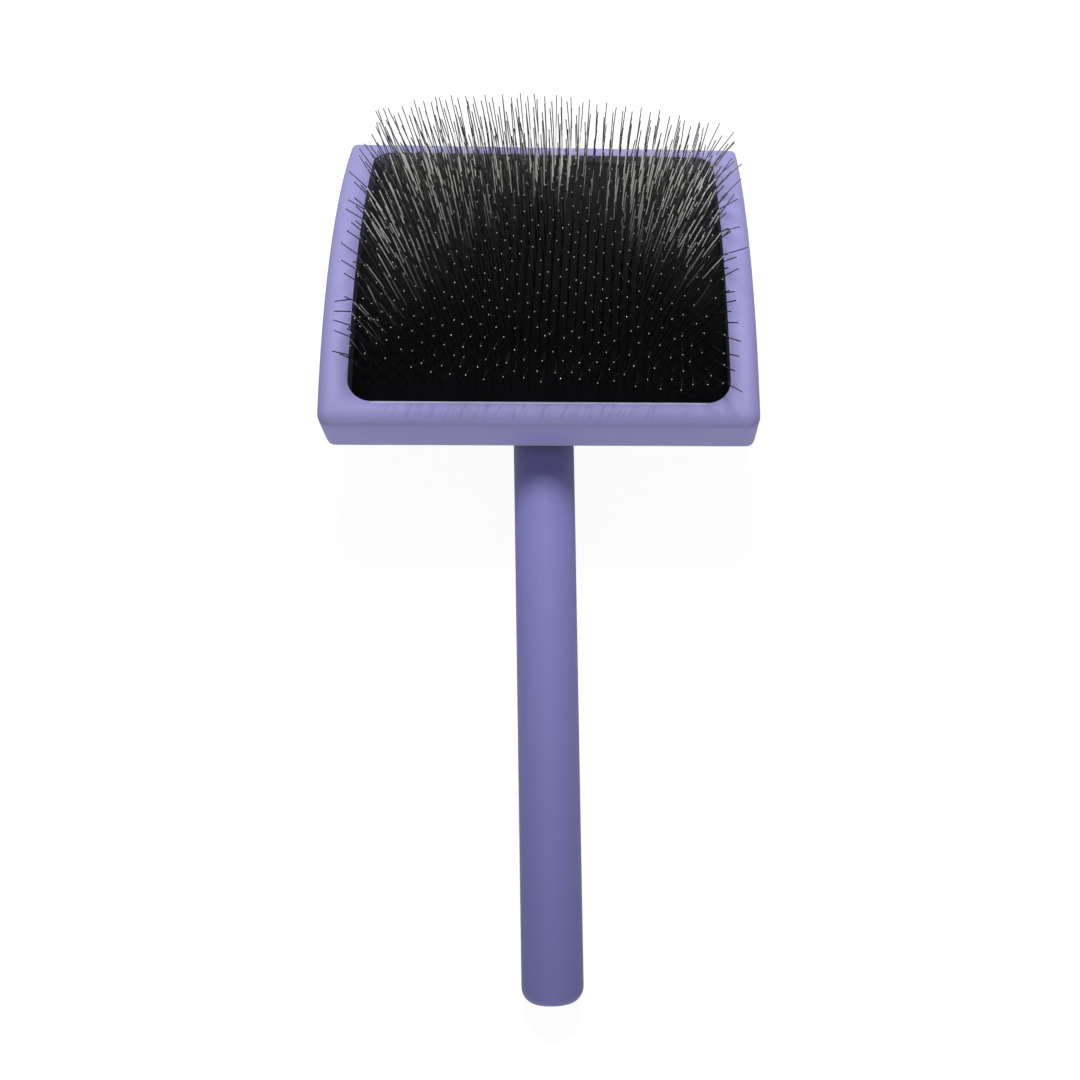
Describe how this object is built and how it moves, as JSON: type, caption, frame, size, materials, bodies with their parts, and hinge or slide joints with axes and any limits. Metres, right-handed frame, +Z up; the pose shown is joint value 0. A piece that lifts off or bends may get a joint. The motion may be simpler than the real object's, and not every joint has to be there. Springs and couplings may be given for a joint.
{
  "type": "slicker brush",
  "caption": "Pet slicker brush with a curved wooden head, a recessed rubber pad of fine kneed wire pins and a straight round handle.",
  "frame": {"origin": "middle of the footprint at rest on a flat floor, at floor height, lying on its back with the pins up", "axes": "+Z up out of the pins, +Y along the brush from the handle's end to the head's far edge, +X to the right"},
  "size_m": [0.145, 0.315, 0.0868],
  "materials": {
    "head_wood": "matt lavender paint over smooth wood",
    "handle_wood": "matt lavender paint over turned wood",
    "screw_steel": "yellow passivated steel",
    "foam": "soft open foam",
    "pad_rubber": "dull black rubber on cloth",
    "pin_wire": "bright drawn steel wire"
  },
  "bodies": {
    "root": {"head_block": "head_wood", "handle": "handle_wood", "handle_screws": "screw_steel", "foam_cushion": "foam", "pin_sheet": "pad_rubber", "pin_row_01": "pin_wire", "pin_row_02": "pin_wire", "pin_row_03": "pin_wire", "pin_row_04": "pin_wire", "pin_row_05": "pin_wire", "pin_row_06": "pin_wire", "pin_row_07": "pin_wire", "pin_row_08": "pin_wire", "pin_row_09": "pin_wire", "pin_row_10": "pin_wire", "pin_row_11": "pin_wire", "pin_row_12": "pin_wire", "pin_row_13": "pin_wire", "pin_row_14": "pin_wire", "pin_row_15": "pin_wire", "pin_row_16": "pin_wire", "pin_row_17": "pin_wire", "pin_row_18": "pin_wire", "pin_row_19": "pin_wire", "pin_row_20": "pin_wire", "pin_row_21": "pin_wire", "pin_row_22": "pin_wire", "pin_row_23": "pin_wire", "pin_row_24": "pin_wire", "pin_row_25": "pin_wire", "pin_row_26": "pin_wire", "pin_row_27": "pin_wire", "pin_row_28": "pin_wire", "pin_row_29": "pin_wire", "pin_row_30": "pin_wire", "pin_row_31": "pin_wire", "pin_row_32": "pin_wire", "pin_row_33": "pin_wire", "pin_row_34": "pin_wire", "pin_row_35": "pin_wire", "pin_row_36": "pin_wire", "pin_row_37": "pin_wire", "pin_row_38": "pin_wire", "pin_row_39": "pin_wire", "pin_row_40": "pin_wire", "pin_row_41": "pin_wire", "pin_row_42": "pin_wire"}
  },
  "joints": []
}
